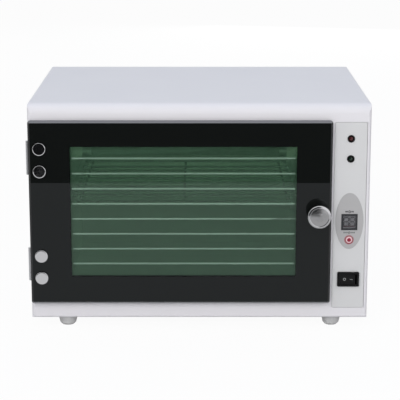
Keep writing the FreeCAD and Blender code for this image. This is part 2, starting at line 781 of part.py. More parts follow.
def make_hinges():
    door_leaves, frame_leaves, pins = [], [], []
    for middle in hinge_middles:
        low = middle - leaf_height / 2
        split = low + frame_knuckle
        high = middle + leaf_height / 2
        pin_hole = rod_z(hinge_x, hinge_y, hinge_pin_radius + pin_clearance, low - past, high + past)
        other_edge = hinge_x + knuckle_radius + leaf_clearance

        knuckle = rod_z(hinge_x, hinge_y, knuckle_radius, split + knuckle_gap, high)
        web = box(hinge_x, other_edge + leaf, door_back, door_back + leaf, split + knuckle_gap, high)
        wing = box(other_edge, other_edge + leaf_width, door_back, door_back + leaf, low, high)
        studs = [rod_y(cap_x, z, stud_radius + hole_play, door_back - past, 0) for z in cap_heights]
        door_leaves.append(cut(joined([knuckle, web, wing]), pin_hole, *studs))

        knuckle = rod_z(hinge_x, hinge_y, knuckle_radius, low, split)
        web = box(hinge_x, other_edge + leaf, -leaf, 0, low, split)
        wing = box(other_edge, other_edge + frame_leaf_width, -leaf, 0, low, high)
        screws = [rod_y(x, z, screw_radius + screw_play, -leaf - past, past) for x, z in hinge_screw_places()]
        frame_leaves.append(cut(joined([knuckle, web, wing]), pin_hole, *screws))
        pins.append(rod_z(hinge_x, hinge_y, hinge_pin_radius, low, high))
    node("door_hinge_leaves", *door_leaves)
    node("frame_hinge_leaves", *frame_leaves)
    node("hinge_pins", *pins)
    screws = [screw_y(x, z, -leaf, 1, screw_length, hinge_screw_head) for x, z in hinge_screw_places()]
    screws += [screw_y(x, z, 0, 1, screw_length, catch_screw_head) for x, z in catch_screw_places()]
    node("fascia_screws", *screws)
    backings = []
    for middle in hinge_middles:
        bar = box(cap_x - backing_width / 2, cap_x + backing_width / 2, sheet, sheet + backing,
                  middle - leaf_height / 2, middle + leaf_height / 2)
        pilots = [rod_y(x, z, screw_radius + hole_play, 0, sheet + backing + past)
                  for x, z in hinge_screw_places()]
        backings.append(cut(bar, *pilots))
    node("hinge_backing_plates", *backings)
    make_hinge_caps()


def make_hinge_caps():
    caps, washers = [], []
    seat = glass_front - washer
    crown = seat - hinge_cap_height
    for z in cap_heights:
        caps.append(turned(cap_x, z, [
            (0, crown), (hinge_cap_radius - hinge_cap_bevel, crown),
            (hinge_cap_radius, crown + hinge_cap_bevel), (hinge_cap_radius, seat), (stud_radius, seat),
            (stud_radius, door_back + leaf), (0, door_back + leaf)]))
        ring = rod_y(cap_x, z, hinge_cap_radius - washer_inset, seat, glass_front)
        washers.append(ring.cut(rod_y(cap_x, z, stud_radius + hole_play, seat - past, glass_front + past)))
    node("hinge_caps", *caps)
    node("glass_washers", *(washers + knob_washers()))


def make_knob():
    seat = glass_front - washer
    crown = glass_front - knob_length
    rim_edge = knob_radius - knob_bevel
    dish_edge = rim_edge - knob_rim
    knob = turned(knob_x, knob_z, [
        (0, crown + knob_dish), (dish_edge - knob_dish, crown + knob_dish), (dish_edge, crown),
        (rim_edge, crown), (knob_radius, crown + knob_bevel), (knob_radius, crown + knob_head),
        (knob_radius - knob_shoulder, crown + knob_head + knob_shoulder),
        (knob_neck_radius, crown + knob_head + knob_flare),
        (knob_neck_radius, seat - knob_foot - knob_shoulder),
        (knob_foot_radius, seat - knob_foot), (knob_foot_radius, seat), (0, seat)])
    bore_end = seat - knob_bore
    node("door_knob", knob.cut(rod_y(knob_x, knob_z, stud_radius + hole_play, bore_end, seat + past)))
    head_seat = door_back + washer
    head_end = head_seat + knob_screw_head
    shank = rod_y(knob_x, knob_z, stud_radius, bore_end + knob_screw_gap, head_seat)
    head = rod_y(knob_x, knob_z, knob_screw_head_radius, head_seat, head_end)
    socket = rod_y(knob_x, knob_z, knob_screw_socket, head_end - knob_screw_socket_depth, head_end + past)
    node("knob_screw", shank.fuse(head).cut(socket))


def knob_washers():
    hole = rod_y(knob_x, knob_z, stud_radius + hole_play, glass_front - past, 0)
    front = rod_y(knob_x, knob_z, knob_foot_radius - washer_inset, glass_front - washer, glass_front)
    rear = rod_y(knob_x, knob_z, knob_rear_washer_radius, door_back, door_back + washer)
    return [front.cut(hole), rear.cut(hole)]


def make_catch():
    x, z = knob_x, bottom + catch_height
    strike_back = door_back + strike
    face = strike_back + catch_air_gap
    half, tall = catch_width / 2 - catch_play, catch_tall / 2 - catch_play
    strike_half, strike_tall = half - strike_inset, tall - strike_inset
    node("catch_strike_plate", plate(x - strike_half, x + strike_half, z - strike_tall, z + strike_tall,
                                     door_back, strike_back, strike_corner))
    block = box(x - half, x + half, face, catch_depth, z - tall, z + tall)
    flange = box(x - half, x + half, sheet, sheet + catch_flange,
                 z - catch_flange_reach, z + catch_flange_reach)
    pocket_back = catch_depth - catch_wall
    x0, x1 = x - half + catch_wall, x + half - catch_wall
    z0, z1 = z - tall + catch_wall, z + tall - catch_wall
    pocket = box(x0, x1, face - past, pocket_back, z0, z1)
    screws = [rod_y(screw_x, screw_height, screw_radius + hole_play, 0, sheet + catch_flange + past)
              for screw_x, screw_height in catch_screw_places()]
    node("magnet_catch", cut(joined([block, flange]), pocket, *screws))
    magnet = box(x0, x1, face + magnet_setback, pocket_back, z0 + magnet_pole, z1 - magnet_pole)
    poles = [box(x0, x1, face, pocket_back, low, low + magnet_pole) for low in (z0, z1 - magnet_pole)]
    node("catch_magnet", magnet, *poles)


# ---------------------------------------------------------------- the control panel
def oval(width, height, y0, y1, x, z):
    """An ellipse, pulled along Y. Its longer half is upright."""
    curve = Part.Ellipse(point(x, y0, z + height / 2), point(x + width / 2, y0, z), point(x, y0, z))
    return Part.Face(Part.Wire(curve.toShape())).extrude(Y * (y1 - y0))


def display_opening(y0, y1):
    half, tall, z = display_width / 2, display_height / 2, bottom + display_middle
    return box(panel_mid - half, panel_mid + half, y0, y1, z - tall, z + tall)


def button_opening(y0, y1):
    return rod_y(panel_mid, bottom + button_middle, button_ring_radius, y0, y1)


def rocker_body(play, y0, y1):
    """What passes through the panel behind the rocker's rim: the cut-out itself where play is 0."""
    half = (rocker_width - rocker_rim) / 2 - play
    tall = (rocker_height - rocker_rim) / 2 - play
    z = bottom + rocker_middle
    return box(panel_mid - half, panel_mid + half, y0, y1, z - tall, z + tall)


def make_control_panel():
    g = panel_gap
    front = plate(panel_left + g, panel_right - g, panel_low + g, panel_high - g,
                  0, panel_back, panel_corner - g)
    flange = plate(panel_left - panel_flange, panel_right - g, panel_low - panel_flange,
                   panel_high + panel_flange, sheet, panel_flange_back, panel_corner)
    holes = [rod_y(panel_mid, z, led_radius + led_clearance + led_bezel_wall + led_clearance,
                   -past, panel_flange_back + past) for z in led_heights]
    holes.append(display_opening(-past, panel_flange_back + past))
    holes.append(button_opening(-past, panel_flange_back + past))
    holes.append(rocker_body(0, -past, panel_flange_back + past))
    posts = [rod_y(x, z, post_radius, panel_back, board_front) for x, z in board_post_places()]
    holes += [rod_y(x, z, screw_radius + hole_play, board_front - post_hole, board_front + past)
              for x, z in board_post_places()]
    node("control_panel", cut(joined([front, flange] + posts), *holes))

    overlay = oval(oval_width, oval_height, -oval_thickness, 0, panel_mid, bottom + oval_middle)
    node("oval_plate", cut(overlay, display_opening(-past, past), button_opening(-past, past)))


def segment_outlines():
    """The seven bars of one digit, as (x0, x1, z0, z1) about its middle."""
    tall, wide, bar = digit_height / 2, digit_width / 2, bar_width / 2
    uprights = [(side * wide - bar, side * wide + bar, (level - 1) * tall / 2 + bar + bar_gap,
                 (level + 1) * tall / 2 - bar - bar_gap) for side in (-1, 1) for level in (-1, 1)]
    across = [(-wide + bar + bar_gap, wide - bar - bar_gap, level * tall - bar, level * tall + bar)
              for level in (-1, 0, 1)]
    return uprights + across


def make_display():
    z = bottom + display_middle
    face = -oval_thickness - display_proud
    half, tall = display_width / 2 - display_frame, display_height / 2 - display_frame
    recess_back = face + display_recess
    filter_back = face + filter_setback + display_filter
    recess = box(panel_mid - half, panel_mid + half, face - past, recess_back, z - tall, z + tall)
    node("display_housing", display_opening(face, board_front).cut(recess))
    segments = []
    for digit in (-1, 1):
        middle = panel_mid + digit * half / 2
        segments += [plate(middle + x0, middle + x1, z + z0, z + z1, filter_back, recess_back)
                     for x0, x1, z0, z1 in segment_outlines()]
    node("display_segments", *segments)
    node("display_window", plate(panel_mid - half, panel_mid + half, z - tall, z + tall,
                                 face + filter_setback, filter_back))


def make_button():
    z = bottom + button_middle
    ring_front = -oval_thickness - button_ring_proud
    ring_back = panel_flange_back + button_ring_flange_thickness
    ring = rod_y(panel_mid, z, button_ring_radius, ring_front, ring_back)
    skirt = rod_y(panel_mid, z, button_ring_radius + button_ring_flange, panel_flange_back, ring_back)
    bore = rod_y(panel_mid, z, button_radius + button_play, ring_front - past, ring_back + past)
    node("button_ring", joined([ring, skirt]).cut(bore))
    crown = ring_front - button_proud
    switch_face = board_front - push_switch_height
    stem_end = switch_face - push_switch_gap - button_travel
    cap_back = panel_back + button_travel
    node("power_button", turned(panel_mid, z, [
        (0, crown), (button_radius - button_proud, crown), (button_radius, crown + button_proud),
        (button_radius, cap_back), (button_stem_radius, cap_back), (button_stem_radius, stem_end),
        (0, stem_end)]))
    half = push_switch / 2
    node("button_switch", box(panel_mid - half, panel_mid + half, switch_face, board_front,
                              z - half, z + half))


def make_rocker():
    z = bottom + rocker_middle
    half, tall = rocker_width / 2, rocker_height / 2
    flange = plate(panel_mid - half, panel_mid + half, z - tall, z + tall, -rocker_proud, 0, rocker_corner)
    inner_half, inner_tall = half - rocker_rim, tall - rocker_rim
    pocket = box(panel_mid - inner_half, panel_mid + inner_half,
                 -rocker_proud - past, rocker_depth - rocker_floor, z - inner_tall, z + inner_tall)
    axle = rod_z(panel_mid, rocker_pivot, rocker_axle, z - inner_tall, z + inner_tall)
    body = rocker_body(rocker_fit, 0, rocker_depth)
    node("rocker_housing", joined([cut(joined([flange, body]), pocket), axle]))

    # The ends lean inwards, so that they clear the rim at both tilts.
    tilt = math.radians(rocker_tilt)
    reach = inner_half - rocker_play
    crown_reach, heel_reach = [(reach - (rocker_pivot - level) * math.sin(tilt)) / math.cos(tilt)
                               for level in (-rocker_crown, rocker_heel)]
    under = rocker_pivot + rocker_boss / 2
    wing = [(-crown_reach, -rocker_crown), (0, rocker_dip - rocker_crown), (crown_reach, -rocker_crown),
            (heel_reach, rocker_heel), (rocker_boss, under), (-rocker_boss, under),
            (-heel_reach, rocker_heel)]
    outline = [point(panel_mid + a, b, z - inner_tall + rocker_play) for a, b in wing]
    paddle = Part.Face(Part.makePolygon(outline + outline[:1])).extrude(Z * (2 * (inner_tall - rocker_play)))
    bore = rod_z(panel_mid, rocker_pivot, rocker_axle + pin_clearance, z - inner_tall, z + inner_tall)
    paddle = paddle.cut(bore)
    paddle.rotate(point(panel_mid, rocker_pivot, z), Z, -rocker_tilt)
    node("rocker_paddle", paddle)


def led(z):
    """A round lamp: a half-sphere on a straight body, with two legs to the board."""
    shoulder, back = led_radius - led_proud, panel_back + led_body
    arc = Part.Arc(point(panel_mid, -led_proud, z),
                   point(panel_mid + led_radius * math.sqrt(0.5), shoulder - led_radius * math.sqrt(0.5), z),
                   point(panel_mid + led_radius, shoulder, z)).toShape()
    rest = Part.makePolygon([point(panel_mid + led_radius, shoulder, z),
                             point(panel_mid + led_radius, back, z), point(panel_mid, back, z),
                             point(panel_mid, -led_proud, z)])
    dome = Part.Face(Part.Wire([arc] + rest.Edges)).revolve(point(panel_mid, 0, z), Y, 360)
    half = led_leg / 2
    legs = [box(panel_mid + x - half, panel_mid + x + half, back, board_front, z - half, z + half)
            for x in (-led_leg_spacing / 2, led_leg_spacing / 2)]
    return joined([dome] + legs)


def make_indicators():
    bezels = []
    for name, z in zip(("red_indicator", "green_indicator"), led_heights):
        node(name, led(z))
        inner = led_radius + led_clearance
        outer = inner + led_bezel_wall
        back = panel_back + led_bezel_length
        bezels.append(turned(panel_mid, z, [
            (inner, -led_bezel_proud), (led_bezel_radius - led_bezel_round, -led_bezel_proud),
            (led_bezel_radius, led_bezel_round - led_bezel_proud), (led_bezel_radius, 0), (outer, 0),
            (outer, back), (inner, back)]))
    node("indicator_bezels", *bezels)


def board_post_places():
    across = board_width / 2 - board_hole_inset
    return [(panel_mid + side * across, z) for side in (-1, 1)
            for z in (board_low + board_hole_inset, board_high - board_hole_inset)]


def make_board():
    low, high = board_low, board_high
    x, y = panel_mid, board_back
    holes = [rod_y(hole_x, z, screw_radius + hole_play, board_front - past, board_back + past)
             for hole_x, z in board_post_places()]
    plain = box(x - board_width / 2, x + board_width / 2, board_front, y, low, high)
    node("control_board", cut(plain, *holes))
    screws = [screw_y(screw_x, z, y, -1, short_screw) for screw_x, z in board_post_places()]
    screws += [screw_z(screw_x, screw_back, inner_bottom + ballast_foot, -1, short_screw)
               for screw_x, screw_back in ballast_screw_places()]
    node("inside_screws", *screws)
    half, foot = relay_width / 2, low + relay_rise
    node("relay", box(x - half, x + half, y, y + relay_depth, foot, foot + relay_height))
    half, foot = transformer_width / 2, low + transformer_rise
    step = (transformer_depth - transformer_core) / 2
    core = box(x - half, x + half, y + step, y + step + transformer_core, foot, foot + transformer_height)
    half, middle = transformer_coil_width / 2, foot + transformer_height / 2
    coil = plate_x(x - half, x + half, y, y + transformer_depth, middle - transformer_coil_height / 2,
                   middle + transformer_coil_height / 2, transformer_coil_corner)
    node("board_transformer", joined([core, coil]))


# ---------------------------------------------------------------- the electrics behind it
def ballast_screw_places():
    reach = (ballast_length + ballast_ear) / 2
    middle = chamber_back - ballast_length / 2 - ballast_back_gap
    return [(bay_mid, middle - reach), (bay_mid, middle + reach)]


def make_electrics():
    (x, y_low), (_, y_high) = ballast_screw_places()
    half = ballast_width / 2
    y0, y1 = y_low + ballast_ear / 2, y_high - ballast_ear / 2
    foot_top = inner_bottom + ballast_foot
    foot = box(x - half, x + half, y0 - ballast_ear, y1 + ballast_ear, inner_bottom, foot_top)
    core = box(x - half, x + half, y0, y1, foot_top, inner_bottom + ballast_height)
    holes = [rod_z(hole_x, hole_y, screw_radius + screw_play, 0, foot_top + past)
             for hole_x, hole_y in ballast_screw_places()]
    node("ballast", cut(joined([foot, core]), *holes))

    half = starter_socket_size / 2
    node("starter_socket", box(bay_left, starter_face, starter_y - half, starter_y + half,
                               starter_z - half, starter_z + half))
    node("starter", rod_x(starter_y, starter_z, starter_radius, starter_face, starter_face + starter_length))

    half, depth = terminal_length / 2, terminal_width / 2
    strip_top = inner_bottom + terminal_height
    strip = box(x - half, x + half, terminal_y - depth, terminal_y + depth, inner_bottom, strip_top)
    pockets = [rod_z(pocket_x, terminal_y, terminal_pocket_radius, terminal_floor, strip_top + past)
               for pocket_x in terminal_places]
    node("terminal_block", cut(strip, *pockets))


def lead(*points):
    """An insulated wire: straight runs joined by arcs as large as the runs allow."""
    edges = []
    start = points[0]
    for before, corner, after in zip(points, points[1:], points[2:]):
        into, out = corner - before, after - corner
        cut_back = 0.45 * min(into.Length, out.Length)
        into.normalize()
        out.normalize()
        bend = cut_back / math.tan(into.getAngle(out) / 2)
        inward = out - into
        inward.normalize()
        arc_start, arc_end = corner - into * cut_back, corner + out * cut_back
        arc_middle = corner + inward * (math.hypot(bend, cut_back) - bend)
        edges.append(Part.LineSegment(start, arc_start).toShape())
        edges.append(Part.Arc(arc_start, arc_middle, arc_end).toShape())
        start = arc_end
    edges.append(Part.LineSegment(start, points[-1]).toShape())
    ring = Part.Wire(Part.makeCircle(lead_radius, points[0], points[1] - points[0]))
    return Part.Wire(edges).makePipeShell([ring], True, False)


def make_leads():
    lamp_left, lamp_right = holder_middles
    ballast_top = inner_bottom + ballast_height
    ballast_front = ballast_screw_places()[0][1] + ballast_ear / 2
    ballast_entry = ballast_top - lead_slack
    rocker_z = bottom + rocker_middle
    transformer_z = board_low + transformer_rise + transformer_height / 2
    transformer_face = board_back + transformer_depth
    by_starter = (bay_left + starter_face) / 2
    starter_top = starter_z + starter_socket_size / 2
    by_ballast = bay_mid - lead_slack
    behind_lamp = starter_y - starter_socket_size / 2 - 2 * lead_slack
    live, neutral, control = terminal_places[1:]
    switch_x = panel_mid - lead_spread
    node("inside_wires",
         lead(point(lamp_left, lamp_setback, chamber_ceiling), point(lamp_left, lamp_setback, roof_space),
              point(by_starter, lamp_setback + 2 * lead_slack, roof_space),
              point(by_starter, starter_y, roof_space), point(by_starter, starter_y, starter_top)),
         lead(point(lamp_right, lamp_setback, chamber_ceiling), point(lamp_right, lamp_setback, roof_space),
              point(by_ballast, lamp_setback, roof_space), point(by_ballast, behind_lamp, starter_z),
              point(by_ballast, behind_lamp, ballast_top)),
         lead(point(neutral, ballast_front, ballast_entry),
              point(neutral, ballast_front - lead_slack, ballast_entry),
              point(neutral, terminal_y, ballast_top), point(neutral, terminal_y, terminal_floor)),
         lead(point(live, terminal_y, terminal_floor), point(live, terminal_y, rocker_z),
              point(switch_x, rocker_depth + lead_slack, rocker_z), point(switch_x, rocker_depth, rocker_z)),
         lead(point(control, terminal_y, terminal_floor), point(control, terminal_y, rocker_z + lead_slack),
              point(panel_mid, transformer_face + lead_slack, transformer_z),
              point(panel_mid, transformer_face, transformer_z)))


make_case()
make_base()
make_rear_panel()
make_gland()
make_feet()
make_liner()
make_lamp()
make_rack()
make_door()
make_hinges()
make_knob()
make_catch()
make_control_panel()
make_display()
make_button()
make_rocker()
make_indicators()
make_board()
make_electrics()
make_leads()

# The origin goes under the middle of everything: the hinge knuckles reach furthest left, the case
# furthest right, the knob furthest forward and the cable gland furthest back.
leftmost = hinge_x - knuckle_radius
frontmost = glass_front - knob_length
rearmost = body_depth + gland_body + gland_dome
to_origin = point(-(leftmost + right) / 2, -(frontmost + rearmost) / 2, 0)

if __name__ == "__main__":
    os.makedirs("parts", exist_ok=True)
    for name, shape in nodes.items():
        shape.translate(to_origin)
        shape.exportStep("parts/" + name + ".step")
    print(len(nodes), "nodes")
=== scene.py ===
# %% [markdown]
# A UV sterilizer cabinet
#
# This lesson dresses a table-top cabinet that keeps salon tools clean: a white steel case, a stainless
# chamber with a germicidal tube, a wire rack, a dark glass door and a narrow control panel. The solid
# model comes ready-made as a frame. Blender gives it its finishes, the light, and the few small pieces
# that are easier to draw here than to machine, such as printed marks and lamp filaments.

# %% Load the frame and keep its box
import math

import bmesh
import bpy
from mathutils import Matrix, Vector


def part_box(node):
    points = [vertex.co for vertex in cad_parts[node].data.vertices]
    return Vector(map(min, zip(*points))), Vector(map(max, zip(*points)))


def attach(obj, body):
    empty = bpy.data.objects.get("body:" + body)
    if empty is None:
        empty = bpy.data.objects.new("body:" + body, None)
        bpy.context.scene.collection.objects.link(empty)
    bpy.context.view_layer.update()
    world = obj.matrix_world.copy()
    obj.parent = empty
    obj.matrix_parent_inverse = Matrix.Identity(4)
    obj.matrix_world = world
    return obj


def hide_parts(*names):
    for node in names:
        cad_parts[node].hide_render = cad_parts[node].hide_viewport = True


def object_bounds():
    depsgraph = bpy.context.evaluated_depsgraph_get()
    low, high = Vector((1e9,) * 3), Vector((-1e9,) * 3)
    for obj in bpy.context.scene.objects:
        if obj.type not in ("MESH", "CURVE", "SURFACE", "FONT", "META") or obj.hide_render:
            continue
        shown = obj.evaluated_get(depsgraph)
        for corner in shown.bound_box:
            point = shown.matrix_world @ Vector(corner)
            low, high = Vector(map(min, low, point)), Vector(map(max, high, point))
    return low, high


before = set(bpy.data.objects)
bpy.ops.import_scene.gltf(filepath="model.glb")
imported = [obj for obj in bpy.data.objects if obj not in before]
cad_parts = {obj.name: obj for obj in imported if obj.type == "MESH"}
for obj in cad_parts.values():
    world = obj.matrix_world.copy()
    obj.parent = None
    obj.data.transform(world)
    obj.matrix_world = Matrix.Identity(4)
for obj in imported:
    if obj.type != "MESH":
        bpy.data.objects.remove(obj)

cad_low, cad_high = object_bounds()
print("box", [round(1000 * side) for side in cad_high - cad_low], "mm")

# %% [markdown]
# Everything in this file is in metres, but the pieces are small, so the sizes below are written as
# a number of millimetres times mm. A place is never typed: it is read from the box of the piece that
# the new one sits on, so a change of the solid model carries the details along.

# %% Millimetres, and places read from the frame
mm = 0.001


def middle(name):
    """The middle of a solid piece's box."""
    low, high = (Vector(corner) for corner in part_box(name))
    return (low + high) / 2


def size(name):
    low, high = (Vector(corner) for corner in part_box(name))
    return high - low


front_face = Vector(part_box("front_fascia")[0]).y
print("front face at y =", round(front_face / mm, 2), "mm")

# %% [markdown]
# Colours are written as sRGB hex values, as in any paint program, and the shaders want them linear.
# One function does that. Another adds a node with its settings and what feeds its sockets, which keeps
# each material down to the few lines that say what it is.

# %% Colours and nodes
def linear(hex_colour):
    """An sRGB hex colour, such as "#d8d9dd", as the linear RGBA that the nodes use."""
    parts = [int(hex_colour[place:place + 2], 16) / 255 for place in (1, 3, 5)]
    return tuple(part / 12.92 if part <= 0.04045 else ((part + 0.055) / 1.055) ** 2.4
                 for part in parts) + (1.0,)


def add(tree, kind, inputs=None, **settings):
    """Adds a node. inputs gives each socket a value, or the output that feeds it."""
    node = tree.nodes.new(kind)
    for name, value in settings.items():
        setattr(node, name, value)
    for socket, value in (inputs or {}).items():
        if isinstance(value, bpy.types.NodeSocket):
            tree.links.new(value, node.inputs[socket])
        else:
            node.inputs[socket].default_value = value
    return node


def surface(name, hex_colour, **sockets):
    """A material with its Principled shader's own sockets set. Returns both and the node tree."""
    material = bpy.data.materials.new(name)
    material.use_nodes = True
    tree = material.node_tree
    shader = tree.nodes["Principled BSDF"]
    shader.inputs["Base Color"].default_value = linear(hex_colour)
    for socket, value in sockets.items():
        shader.inputs[socket.replace("_", " ").title().replace("Ior", "IOR")].default_value = value
    return material, tree, shader


def dress(material, *names):
    """Gives a solid piece its finish, in every slot that it has."""
    for name in names:
        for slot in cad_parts[name].material_slots:
            slot.material = material


print("#808080 is", round(linear("#808080")[0], 3), "in linear light")

# %% [markdown]
# The camera stands in front, a little above the cabinet, and looks down by 13 degrees through a long
# lens. A long lens keeps the case's sides nearly parallel, as a catalogue picture has them. It has no
# shift and no blur, so that the same camera serves from every side.

# %% Camera
camera_right = 1.5 * mm           # of the cabinet's middle
camera_height = 474.8 * mm
camera_distance = 1449.1 * mm     # in front of the front face
camera_down = 13.212              # degrees below level
camera_lens = 134.26              # in millimetres, as the sensor is
sensor_width = 36

camera = bpy.data.objects.new("camera", bpy.data.cameras.new("camera"))
bpy.context.scene.collection.objects.link(camera)
camera.location = (camera_right, front_face - camera_distance, camera_height)
camera.rotation_euler = (math.radians(90 - camera_down), 0, 0)
camera.data.lens = camera_lens
camera.data.sensor_width = sensor_width
bpy.context.scene.camera = camera
print("camera", [round(value / mm) for value in camera.location], "mm")

# %% [markdown]
# The stage is a white table in a white room. The room is the world's colour. The table has a front
# edge, and beyond it a dark cloth hangs between the table and the camera. Neither the table's edge nor
# the cloth is ever in view, but the glass door mirrors both, and that is what draws the line across it:
# grey haze from the table below, clear black above. A mirror shows the table's far end, which the lamps
# hardly reach, so mirror rays find it darker. The cloth shows only to mirror rays, so it takes no light
# from the cabinet.

# %% White table and dark cloth
table_reach = 690 * mm            # from the glass to the table's front edge
table_size = 6.0
cloth_height = 1.6
cloth_left = -3.5
cloth_right = 250 * mm            # just right of the knob, so that the knob's right half mirrors the room
glow_seen = 0.95                  # the table, seen by the camera
glow_mirrored = 0.56              # its far end, seen in a mirror


def flat_stage(name, corners, material):
    mesh = bpy.data.meshes.new(name)
    sheet = bmesh.new()
    sheet.faces.new([sheet.verts.new(corner) for corner in corners])
    sheet.to_mesh(mesh)
    sheet.free()
    piece = bpy.data.objects.new(name, mesh)
    mesh.materials.append(material)
    bpy.context.scene.collection.objects.link(piece)
    return piece


def seen_directly(tree):
    """1 for rays that come from the camera, a mirror or glass, and 0 for those that carry light."""
    path = add(tree, "ShaderNodeLightPath")
    mirror = add(tree, "ShaderNodeMath", {0: path.outputs["Is Camera Ray"], 1: path.outputs["Is Glossy Ray"]},
                 operation="MAXIMUM")
    return add(tree, "ShaderNodeMath", {0: mirror.outputs[0], 1: path.outputs["Is Transmission Ray"]},
               operation="MAXIMUM").outputs[0]


table_paint, tree, shader = surface("white_table", "#cfcfcf", roughness=0.9, specular_ior_level=0.2)
shadow_part = add(tree, "ShaderNodeBsdfDiffuse", {"Color": linear("#3c3c3c")})
in_mirror = add(tree, "ShaderNodeLightPath").outputs["Is Glossy Ray"]
glow = add(tree, "ShaderNodeMath", {0: in_mirror, 1: glow_mirrored - glow_seen, 2: glow_seen},
           operation="MULTIPLY_ADD")
glow_part = add(tree, "ShaderNodeEmission", {"Color": linear("#ffffff"), "Strength": glow.outputs[0]})
bright = add(tree, "ShaderNodeAddShader", {0: shadow_part.outputs[0], 1: glow_part.outputs[0]})
mix = add(tree, "ShaderNodeMixShader",
          {0: seen_directly(tree), 1: shader.outputs[0], 2: bright.outputs[0]})
tree.links.new(mix.outputs[0], tree.nodes["Material Output"].inputs["Surface"])

glass_front = Vector(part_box("door_glass")[0]).y
edge = glass_front - table_reach
flat_stage("table_top", [(-table_size, edge - table_size, 0), (table_size, edge - table_size, 0),
                         (table_size, table_size, 0), (-table_size, table_size, 0)], table_paint)

cloth, tree, shader = surface("dark_cloth", "#202020", roughness=1.0, specular_ior_level=0.0)
hanging = flat_stage("dark_cloth", [(cloth_left, edge, 0), (cloth_right, edge, 0),
                                    (cloth_right, edge, cloth_height), (cloth_left, edge, cloth_height)],
                     cloth)
hanging.visible_camera = False
hanging.visible_diffuse = False
hanging.visible_transmission = False
hanging.visible_shadow = False
hanging.visible_volume_scatter = False
print("mirrored table edge", round(table_reach / mm), "mm in front of the glass")

# %% [markdown]
# The light is a large soft lamp above and in front on the left, a weaker one on the right, one low in
# front that lights under the door's edge, a cooler one overhead, one behind for the back, and an even
# white room. Together they light the cabinet at about the level at which a colour renders as it is
# written. Mirrors don't show the lamps: a lamp in a glass door would be one hard white spot, and in a
# real studio it is moved until it has gone.

# %% Lamps and room
def lamp(name, place, target, width, watts, tint="#ffffff"):
    light = bpy.data.lights.new(name, "AREA")
    light.color = linear(tint)[:3]
    light.shape = "DISK"
    light.size = width
    light.energy = watts
    piece = bpy.data.objects.new(name, light)
    piece.location = place
    piece.rotation_euler = (Vector(target) - Vector(place)).to_track_quat("-Z", "Y").to_euler()
    piece.visible_glossy = False
    bpy.context.scene.collection.objects.link(piece)
    return piece


centre = (cad_low + cad_high) / 2
lamp("soft_key", (-0.8, -1.9, 1.5), centre, 1.4, 16.0)
lamp("soft_fill", (1.0, -1.8, 0.9), centre, 1.2, 8.5)
lamp("soft_low", (-0.3, -2.0, 0.2), centre, 1.0, 9.5)
lamp("soft_top", (0.0, 0.1, 2.2), centre, 1.6, 7.2, "#90caff")
lamp("soft_back", (0.5, 2.4, 0.5), centre, 1.4, 9.0)

room = bpy.data.worlds.new("white_room")
bpy.context.scene.world = room
room.use_nodes = True
tree = room.node_tree
tree.nodes.clear()
shown = add(tree, "ShaderNodeBackground", {"Color": linear("#ffffff"), "Strength": 1.0})
lighting = add(tree, "ShaderNodeBackground", {"Color": linear("#faf9fc"), "Strength": 0.49})
mix = add(tree, "ShaderNodeMixShader", {0: seen_directly(tree), 1: lighting.outputs[0], 2: shown.outputs[0]})
add(tree, "ShaderNodeOutputWorld", {"Surface": mix.outputs[0]})
bpy.context.scene.view_settings.view_transform = "Standard"
print("lamps", [light.name for light in bpy.data.lights])

# %% [markdown]
# The case is sheet steel with a white powder coat. Powder is baked on, and melts into a satin skin
# with a fine orange peel, which breaks up highlights without any visible grain. Two noises make it:
# one at the peel's size for the bump, one much wider that lets the roughness drift.

# %% White powder coat
peel_grain = 0.9 * mm             # real orange peel is about this wide
coat_drift = 60 * mm


def powder_coat(name, hex_colour):
    material, tree, shader = surface(name, hex_colour, roughness=0.42, specular_ior_level=0.4)
    place = add(tree, "ShaderNodeTexCoord").outputs["Object"]
    peel = add(tree, "ShaderNodeTexNoise", {"Vector": place, "Scale": 1 / peel_grain, "Detail": 2.0})
    drift = add(tree, "ShaderNodeTexNoise", {"Vector": place, "Scale": 1 / coat_drift, "Detail": 3.0})
    rough = add(tree, "ShaderNodeMapRange", {"Value": drift.outputs["Fac"], "To Min": 0.36, "To Max": 0.48})
    tree.links.new(rough.outputs[0], shader.inputs["Roughness"])
    bump = add(tree, "ShaderNodeBump", {"Height": peel.outputs["Fac"], "Strength": 0.12,
                                        "Distance": 0.05 * mm})
    tree.links.new(bump.outputs[0], shader.inputs["Normal"])
    return material


dress(powder_coat("white_powder_coat", "#dfdde0"), "front_fascia", "cabinet_wrap", "base_pan", "rear_panel")
print("orange peel every", round(peel_grain / mm, 1), "mm")

# %% [markdown]
# The control panel, the lamp's holders and the catch are moulded ABS. Its mould was sparked to a fine
# matt texture, so it is duller than the coat beside it, and its noise is finer.

# %% Moulded plastics
spark_grain = 0.35 * mm


def moulded(name, hex_colour, rough, bump_depth, gloss=0.45):
    material, tree, shader = surface(name, hex_colour, roughness=rough, specular_ior_level=gloss)
    place = add(tree, "ShaderNodeTexCoord").outputs["Object"]
    grain = add(tree, "ShaderNodeTexNoise", {"Vector": place, "Scale": 1 / spark_grain, "Detail": 3.0})
    wide = add(tree, "ShaderNodeTexNoise", {"Vector": place, "Scale": 1 / (30 * mm), "Detail": 2.0})
    spread = add(tree, "ShaderNodeMapRange", {"Value": wide.outputs["Fac"], "To Min": rough - 0.05,
                                              "To Max": rough + 0.05})
    tree.links.new(spread.outputs[0], shader.inputs["Roughness"])
    bump = add(tree, "ShaderNodeBump", {"Height": grain.outputs["Fac"], "Strength": 0.25,
                                        "Distance": bump_depth})
    tree.links.new(bump.outputs[0], shader.inputs["Normal"])
    return material


